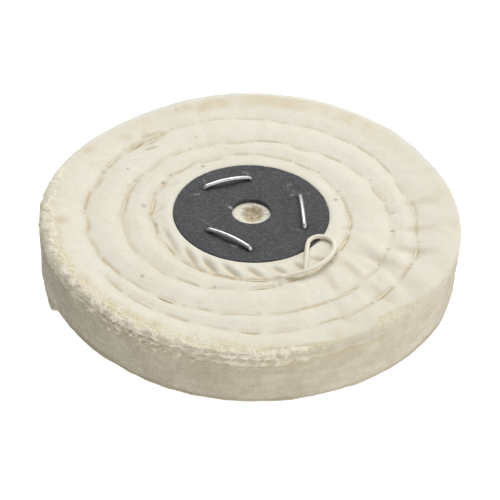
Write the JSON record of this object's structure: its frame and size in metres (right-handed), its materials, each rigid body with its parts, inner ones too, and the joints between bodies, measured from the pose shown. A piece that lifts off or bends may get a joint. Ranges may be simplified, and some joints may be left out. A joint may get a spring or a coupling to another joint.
{
  "type": "buffing wheel",
  "caption": "Flat round cotton buffing wheel: stacked cloth plies sewn in a spiral, stapled between two fibre washers, with a plain spindle bore through the hub.",
  "frame": {"origin": "on the bore axis, in the plane that the loose rim of the lowest ply rests on", "axes": "+Z along the bore axis, out of the face that carries the staple crowns"},
  "size_m": [0.1016, 0.1016, 0.0159],
  "materials": {
    "cloth": "unbleached cotton, matte, frayed at the rim",
    "fibre": "charcoal vulcanised fibre, dull with fine specks",
    "staple_wire": "bright galvanised wire",
    "sewing_thread": "natural cotton thread, matte"
  },
  "bodies": {
    "root": {"cloth_ply_01": "cloth", "cloth_ply_02": "cloth", "cloth_ply_03": "cloth", "cloth_ply_04": "cloth", "cloth_ply_05": "cloth", "cloth_ply_06": "cloth", "cloth_ply_07": "cloth", "cloth_ply_08": "cloth", "cloth_ply_09": "cloth", "cloth_ply_10": "cloth", "cloth_ply_11": "cloth", "cloth_ply_12": "cloth", "cloth_ply_13": "cloth", "cloth_ply_14": "cloth", "cloth_ply_15": "cloth", "cloth_ply_16": "cloth", "cloth_ply_17": "cloth", "cloth_ply_18": "cloth", "cloth_ply_19": "cloth", "cloth_ply_20": "cloth", "cloth_ply_21": "cloth", "cloth_ply_22": "cloth", "cloth_ply_23": "cloth", "cloth_ply_24": "cloth", "cloth_ply_25": "cloth", "cloth_ply_26": "cloth", "cloth_ply_27": "cloth", "cloth_ply_28": "cloth", "cloth_ply_29": "cloth", "cloth_ply_30": "cloth", "cloth_ply_31": "cloth", "cloth_ply_32": "cloth", "cloth_ply_33": "cloth", "cloth_ply_34": "cloth", "cloth_ply_35": "cloth", "cloth_ply_36": "cloth", "cloth_ply_37": "cloth", "cloth_ply_38": "cloth", "cloth_ply_39": "cloth", "cloth_ply_40": "cloth", "front_washer": "fibre", "back_washer": "fibre", "staple_1": "staple_wire", "staple_2": "staple_wire", "staple_3": "staple_wire", "needle_thread": "sewing_thread", "bobbin_thread": "sewing_thread", "thread_loop": "sewing_thread"}
  },
  "joints": []
}
